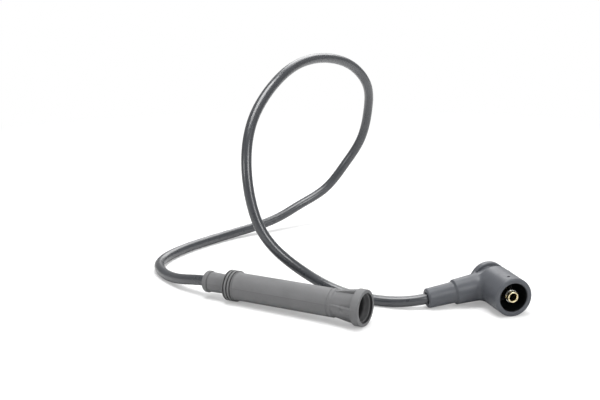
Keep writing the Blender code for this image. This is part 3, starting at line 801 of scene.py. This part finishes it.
def lead_relief(radius, turn, along):
    """Raises the lead's mould seam, and spreads the lead into a fillet where it meets the barrel."""
    if radius > 2 * MM:
        beside = min(around(turn, 0, radius), around(turn, math.pi, radius))
        radius += ridge(beside, SEAM_WIDTH, SEAM_HEIGHT)
    if along < 0 or along > sizes().barrel / 2 + FILLET:
        return radius
    behind = math.cos(turn)
    widest = max(radius, FILLET_BEHIND / behind) if behind > 0.5 else radius + FILLET
    skin = barrel_radius(-radius * behind)

    def inside_blend(spread_radius):
        """Below 0 inside the rounded union of the lead and the barrel."""
        lead = spread_radius - radius
        barrel = math.hypot(along, spread_radius * math.sin(turn)) - skin
        share = max(0, FILLET - abs(lead - barrel)) / FILLET
        return min(lead, barrel) - share * share * FILLET / 4

    low, high = radius, radius + FILLET
    for _ in range(BLEND_HALVINGS):
        middle = (low + high) / 2
        if inside_blend(middle) < 0:
            low = middle
        else:
            high = middle
    return min(high, widest)


def tower_corners():
    """The space for the tower, chamfered at the rim, and the seat of the socket below it."""
    bore = sizes().tower / MM / 2
    seat = (sizes().socket / 2 + CLEARANCE) / MM
    return [
        (0, RIM + PAST_RIM, 0),
        (bore + 0.5, RIM + PAST_RIM, 0),
        (bore + 0.5, RIM, 0.2),
        (bore, RIM - 0.5, 0.3),
        (bore, RIM - TOWER_SPACE_DEPTH, 1.0),
        (seat, RIM - TOWER_SPACE_DEPTH, 0),
        (seat, 0, 0),
        (0, 0, 0),
    ]


def cable_space_corners():
    """The cable's way in through the lead, and the wider space for the crimp behind it."""
    reach = sizes().lead_reach / MM
    cable = (sizes().cable / 2 + CLEARANCE) / MM
    inner, outer = CRIMP_SPACE
    return [
        (0, reach + PAST_RIM, 0),
        (cable + 0.5, reach + PAST_RIM, 0),
        (cable + 0.5, reach, 0.2),
        (cable, reach - 0.5, 0.3),
        (cable, outer, 0),
        (CRIMP_SPACE_RADIUS, outer, 0),
        (CRIMP_SPACE_RADIUS, inner, 0),
        (0, inner, 0),
    ]


def gate_corners():
    """The small round mould mark on top of the barrel."""
    return [
        (0, GATE_DEPTH, 0),
        (GATE_RADIUS, GATE_DEPTH, 0.2),
        (GATE_RADIUS, -GATE_DEPTH, 0),
        (0, -GATE_DEPTH, 0),
    ]


def elbow_painted_shade(x, y, z):
    """Painted shade: black inside the barrel and the lead, from just below their rims."""
    if math.hypot(x, y) < sizes().tower / 2 + 0.1 * MM and z > 0:
        return ramp(RIM * MM - z - BLACK_FROM_RIM, BLACK_WITHIN)
    if math.hypot(y, z) < (CRIMP_SPACE_RADIUS + 0.1) * MM and x > (CRIMP_SPACE[0] - 0.8) * MM:
        return ramp(sizes().lead_reach - x - BLACK_FROM_RIM, BLACK_WITHIN)
    return 0.0


class WIRE_OT_distributor_boot(bpy.types.Operator):
    """Moulds the right-angle boot: barrel, waist, pad, stepped lead and the spaces inside"""

    bl_idname = "wire.distributor_boot"
    bl_label = "Right-Angle Boot"

    def execute(self, context):
        along_lead = Matrix.Rotation(math.pi / 2, 4, "Y")
        boot = link(lathe("right_angle_boot", barrel_corners(), BOOT_SIDES))
        lead = lathe("lead", lead_corners(), BOOT_SIDES, lead_relief)
        lead.data.transform(along_lead)
        boolean(boot, lead, "UNION")
        boolean(boot, lathe("tower_space", tower_corners(), BOOT_SIDES), "DIFFERENCE")
        way = lathe("cable_space", cable_space_corners(), BOOT_SIDES)
        way.data.transform(along_lead)
        boolean(boot, way, "DIFFERENCE")
        gate = lathe("gate_mark", gate_corners(), METAL_SIDES)
        top = Matrix.Translation((0, -sizes().barrel / 2, (RIM - GATE_FROM_RIM) * MM))
        gate.data.transform(top @ Matrix.Rotation(math.pi / 2, 4, "X"))
        boolean(boot, gate, "DIFFERENCE")
        paint_shade(boot, elbow_painted_shade)
        settle(boot, elbow_place())
        rubber = moulded_rubber("distributor_boot_rubber", colours().distributor_boot, 0.4)
        show(boot, rubber, "distributor_boot_rubber", "distributor_boot")
        return {"FINISHED"}


# The cable


def cable_points():
    """The cable's middle line: straight in each boot and on the smooth route between them."""
    start = port()
    lead = elbow_axes()[0]
    boot_way = Vector((math.cos(lean()), 0, math.sin(lean())))
    crossing = elbow_place().translation
    offset = Vector((start.x, start.y, 0))
    route = [offset + Vector(point) for point in ROUTE]
    lead_end = crossing + lead * sizes().lead_reach
    free = smooth_curve([start, *route, lead_end], -boot_way, -lead, ROUTE_SPACING)
    free[1:-1, 2] = np.maximum(free[1:-1, 2], sizes().cable / 2 + CABLE_LIFT)
    first = start + boot_way * CABLE_IN_PLUG_BOOT
    last = crossing + lead * CABLE_END_IN_LEAD
    return [first, *map(Vector, free), last]


class WIRE_OT_cable(bpy.types.Operator):
    """Lays the cable on its route from one boot into the other"""

    bl_idname = "wire.cable"
    bl_label = "Cable"

    def execute(self, context):
        points = cable_points()
        cable = wire("ignition_cable", points, sizes().cable, CABLE_ROUNDNESS)
        show(cable, glossy_sheath("cable_sheath", colours().sheath), "cable_sheath", "cable")
        return {"FINISHED"}


# The metal, in millimetres but for the ring's wire and the seam

SOCKET_BORE = 4.8
SOCKET_BELOW_RIM = 1.0
SOCKET_LENGTH = 25.5
SOCKET_MOUTH_DEPTH = 0.6
SOCKET_MOUTH_FLARE = 0.35
RING_BELOW_TOP = 3.0
RING_GROOVE_WIDTH = 1.4
RING_GROOVE_DEPTH = 0.5
RING_OPENING = 40
RING_WIRE = 0.8 * MM
SOCKET_SEAM = 0.4 * MM


def socket_corners():
    """Corners of the rolled socket with the groove for its ring, and the middle of that groove."""
    radius, bore = sizes().socket / MM / 2, SOCKET_BORE / 2
    top = RIM - SOCKET_BELOW_RIM
    groove, half = top - RING_BELOW_TOP, RING_GROOVE_WIDTH / 2
    corners = [
        (radius, top, 0.45),
        (radius, groove + half, 0.15),
        (radius - RING_GROOVE_DEPTH, groove + half, 0.1),
        (radius - RING_GROOVE_DEPTH, groove - half, 0.1),
        (radius, groove - half, 0.15),
        (radius, top - SOCKET_LENGTH, 0),
        (bore, top - SOCKET_LENGTH, 0),
        (bore, top - SOCKET_MOUTH_DEPTH, 0.3),
        (bore + SOCKET_MOUTH_FLARE, top, 0.2),
    ]
    return corners, groove


def ring_points(height):
    """The open spring ring's middle line round the socket, a clearance off the groove's floor."""
    reach = sizes().socket / 2 - RING_GROOVE_DEPTH * MM + CLEARANCE + RING_WIRE / 2
    place, sweep = elbow_place(), 360 - RING_OPENING
    turns = [math.radians(RING_OPENING / 2 + sweep * step / METAL_SIDES) for step in range(METAL_SIDES + 1)]
    return [place @ Vector((reach * math.cos(t), reach * math.sin(t), height * MM)) for t in turns]


class WIRE_OT_socket(bpy.types.Operator):
    """Rolls the brass socket with its seam and snaps the spring ring into its groove"""

    bl_idname = "wire.socket"
    bl_label = "Brass Socket"

    def execute(self, context):
        corners, groove = socket_corners()
        opening = SOCKET_SEAM / (sizes().socket / 2)
        socket = link(lathe("brass_socket", corners, METAL_SIDES, opening=opening))
        settle(socket, elbow_place())
        brass = worked_metal("socket_brass", colours().brass, 0.22)
        show(socket, brass, "socket_brass", "distributor_socket")
        ring = wire("spring_ring", ring_points(groove), RING_WIRE, WIRE_ROUNDNESS)
        steel = worked_metal("spring_steel", colours().steel, 0.25)
        show(ring, steel, "spring_steel", "socket_spring_ring")
        return {"FINISHED"}


class WIRE_OT_inner_metal(bpy.types.Operator):
    """Finishes the terminals, the clip and the bare conductor ends inside the boots"""

    bl_idname = "wire.inner_metal"
    bl_label = "Inner Metal"

    def execute(self, context):
        tin = worked_metal("tinned_steel", np.array(colours().steel) * 0.9, 0.35)
        steel = worked_metal("clip_steel", colours().steel, 0.28)
        brass = worked_metal("strip_brass", colours().brass, 0.3)
        finishes = {
            "plug_terminal": tin,
            "plug_terminal_clip": steel,
            "plug_core_end": tin,
            "distributor_terminal": brass,
            "distributor_core_end": tin,
        }
        for node, material in finishes.items():
            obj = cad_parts[node]
            for place in obj.material_slots:
                place.material = material
        return {"FINISHED"}


# The stage


class WIRE_OT_stage(bpy.types.Operator):
    """Sets up the pale floor, the soft studio light and the camera"""

    bl_idname = "wire.stage"
    bl_label = "Stage"

    def execute(self, context):
        scene = context.scene
        scene.view_settings.view_transform = "Standard"
        self.add_camera(scene)
        self.add_floor()
        self.add_world(scene)
        for lamp in LAMPS:
            self.add_lamp(*lamp)
        return {"FINISHED"}

    def add_camera(self, scene):
        data = bpy.data.cameras.new("camera")
        data.lens = CAMERA_LENS
        camera = link(bpy.data.objects.new("camera", data))
        camera.location = CAMERA_PLACE
        camera.rotation_euler = (CAMERA_PITCH, 0, CAMERA_TURN)
        scene.camera = camera

    def add_floor(self):
        mesh = bpy.data.meshes.new("floor")
        form = bmesh.new()
        bmesh.ops.create_grid(form, x_segments=1, y_segments=1, size=FLOOR_REACH)
        form.to_mesh(mesh)
        form.free()
        floor = link(bpy.data.objects.new("floor", mesh))
        material, tree, shader = new_material("pale_floor")
        shader.inputs["Base Color"].default_value = (*colours().floor, 1)
        shader.inputs["Roughness"].default_value = 0.9
        shader.inputs["Specular IOR Level"].default_value = 0.1
        glow = add(tree, "ShaderNodeEmission", (0, -200))
        bounce = add(tree, "ShaderNodeBsdfDiffuse", (0, -400))
        bounce.inputs["Color"].default_value = (*FLOOR_BOUNCE, 1)
        where = add(tree, "ShaderNodeTexCoord", (-600, -200))
        away = add(tree, "ShaderNodeVectorMath", (-400, -200), operation="LENGTH")
        tree.links.new(where.outputs["Object"], away.inputs[0])
        share = spread(tree, (-200, -200), away.outputs["Value"], *FLOOR_WHITE_FROM, *FLOOR_SHARE)
        rays = add(tree, "ShaderNodeLightPath", (200, 200))
        seen = add(tree, "ShaderNodeMixShader", (250, 0))
        result = add(tree, "ShaderNodeMixShader", (450, 0))
        for node, factor, first, second in (
            (seen, share, shader, glow),
            (result, rays.outputs["Is Camera Ray"], bounce, seen),
        ):
            tree.links.new(factor, node.inputs[0])
            tree.links.new(first.outputs[0], node.inputs[1])
            tree.links.new(second.outputs[0], node.inputs[2])
        tree.links.new(result.outputs[0], tree.nodes["Material Output"].inputs["Surface"])
        mesh.materials.append(material)

    def add_world(self, scene):
        world = bpy.data.worlds.new("studio")
        scene.world = world
        world.use_nodes = True
        tree = world.node_tree
        background = tree.nodes["Background"]
        background.inputs["Color"].default_value = (1, 1, 1, 1)
        rays = add(tree, "ShaderNodeLightPath", (-600, 0))
        strength = spread(tree, (-300, 0), rays.outputs["Is Camera Ray"], 0, 1, WORLD_LIGHT, 1)
        tree.links.new(strength, background.inputs["Strength"])

    def add_lamp(self, name, place, target, size, power):
        data = bpy.data.lights.new(name, "AREA")
        data.size = size
        data.energy = power
        lamp = link(bpy.data.objects.new(name, data))
        lamp.location = place
        lamp.rotation_euler = (Vector(target) - Vector(place)).to_track_quat("-Z", "Y").to_euler()


class WIRE_PT_panel(bpy.types.Panel):
    """Lists the steps and sizes of the spark plug wire"""

    bl_label = "Spark Plug Wire"
    bl_idname = "WIRE_PT_panel"
    bl_space_type = "VIEW_3D"
    bl_region_type = "UI"
    bl_category = "Spark Plug Wire"

    def draw(self, context):
        layout = self.layout
        for group in (context.scene.wire_sizes, context.scene.wire_colours):
            box = layout.box()
            for name in group.__annotations__:
                box.prop(group, name)
        for operator in OPERATORS:
            layout.operator(operator.bl_idname)


OPERATORS = (
    WIRE_OT_stage,
    WIRE_OT_cable,
    WIRE_OT_plug_boot,
    WIRE_OT_distributor_boot,
    WIRE_OT_socket,
    WIRE_OT_inner_metal,
)
CLASSES = (WireSizes, WireColours, *OPERATORS, WIRE_PT_panel)


def register():
    for item in CLASSES:
        bpy.utils.register_class(item)
    bpy.types.Scene.wire_sizes = PointerProperty(type=WireSizes)
    bpy.types.Scene.wire_colours = PointerProperty(type=WireColours)


def unregister():
    del bpy.types.Scene.wire_colours
    del bpy.types.Scene.wire_sizes
    for item in reversed(CLASSES):
        bpy.utils.unregister_class(item)


def main():
    register()
    bpy.ops.wire.stage()
    bpy.ops.wire.cable()
    bpy.ops.wire.plug_boot()
    bpy.ops.wire.distributor_boot()
    bpy.ops.wire.socket()
    bpy.ops.wire.inner_metal()


if __name__ == "__main__":
    main()
